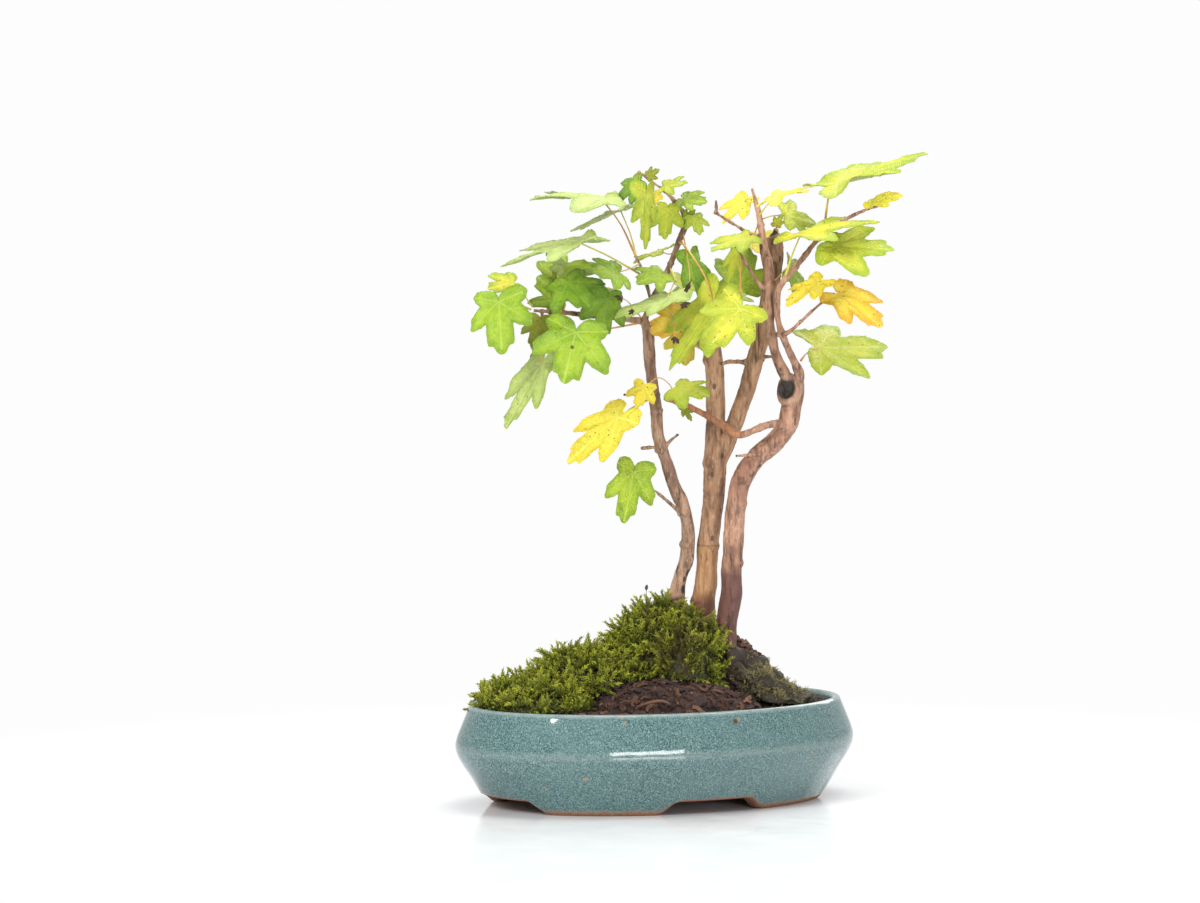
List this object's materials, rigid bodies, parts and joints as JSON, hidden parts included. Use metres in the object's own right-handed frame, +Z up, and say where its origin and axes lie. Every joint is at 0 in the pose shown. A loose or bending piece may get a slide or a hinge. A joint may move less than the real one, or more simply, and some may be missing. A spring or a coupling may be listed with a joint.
{
  "type": "potted bonsai tree",
  "caption": "Clump-style field maple bonsai with lobed green and yellow leaves, in moss and dark soil in an oval blue-green glazed pot on cut-out feet.",
  "frame": {"origin": "centre of the whole object's footprint, on the surface that the pot stands on", "axes": "+Z up; the tree's front faces -Y; +X is to the viewer's right; the pot's long side is turned 27.5 degrees from +X towards +Y"},
  "size_m": [0.2392, 0.162, 0.3245],
  "materials": {
    "glaze": "glossy blue-green glaze with dark and pale specks, bare brown clay under the feet",
    "screen": "matte black mesh",
    "soil": "damp dark crumbs with wood fibres",
    "green_moss": "soft feathery moss",
    "dry_moss": "dry olive-brown moss",
    "bark_left": "grey-brown bark with fine cracks",
    "bark_middle": "tan bark with fine cracks",
    "bark_right": "tan bark, reddish at the base",
    "leaf_dark": "glossy deep green leaf",
    "leaf_green": "satin green leaf",
    "leaf_lime": "yellow-green leaf",
    "leaf_olive": "olive leaf",
    "leaf_pale": "pale leaf underside",
    "leaf_turning": "leaf turning from green to yellow",
    "leaf_yellow": "autumn yellow leaf with brown specks"
  },
  "bodies": {
    "root": {"pot": "glaze", "drain_screen_left": "screen", "drain_screen_right": "screen", "soil": "soil", "moss_left": "green_moss", "moss_centre": "green_moss", "moss_dry_right": "dry_moss", "stem_left": "bark_left", "stem_middle": "bark_middle", "stem_right": "bark_right", "leaf_01": "leaf_pale", "leaf_02": "leaf_pale", "leaf_03": "leaf_dark", "leaf_04": "leaf_turning", "leaf_05": "leaf_lime", "leaf_06": "leaf_yellow", "leaf_07": "leaf_lime", "leaf_08": "leaf_green", "leaf_09": "leaf_lime", "leaf_10": "leaf_lime", "leaf_11": "leaf_pale", "leaf_12": "leaf_dark", "leaf_13": "leaf_green", "leaf_14": "leaf_pale", "leaf_15": "leaf_yellow", "leaf_16": "leaf_yellow", "leaf_17": "leaf_green", "leaf_18": "leaf_green", "leaf_19": "leaf_dark", "leaf_20": "leaf_olive", "leaf_21": "leaf_dark", "leaf_22": "leaf_dark", "leaf_23": "leaf_pale", "leaf_24": "leaf_pale", "leaf_25": "leaf_green", "leaf_26": "leaf_lime", "leaf_27": "leaf_yellow", "leaf_28": "leaf_lime", "leaf_29": "leaf_lime", "leaf_30": "leaf_yellow", "leaf_31": "leaf_dark", "leaf_32": "leaf_lime", "leaf_33": "leaf_turning", "leaf_34": "leaf_dark", "leaf_35": "leaf_lime", "leaf_36": "leaf_green", "leaf_37": "leaf_green", "leaf_38": "leaf_lime", "leaf_39": "leaf_lime", "leaf_40": "leaf_yellow", "leaf_41": "leaf_yellow", "leaf_42": "leaf_yellow", "leaf_43": "leaf_lime", "leaf_44": "leaf_yellow", "leaf_45": "leaf_green", "leaf_46": "leaf_lime", "leaf_47": "leaf_yellow", "leaf_48": "leaf_yellow", "leaf_49": "leaf_turning", "leaf_50": "leaf_green"}
  },
  "joints": []
}
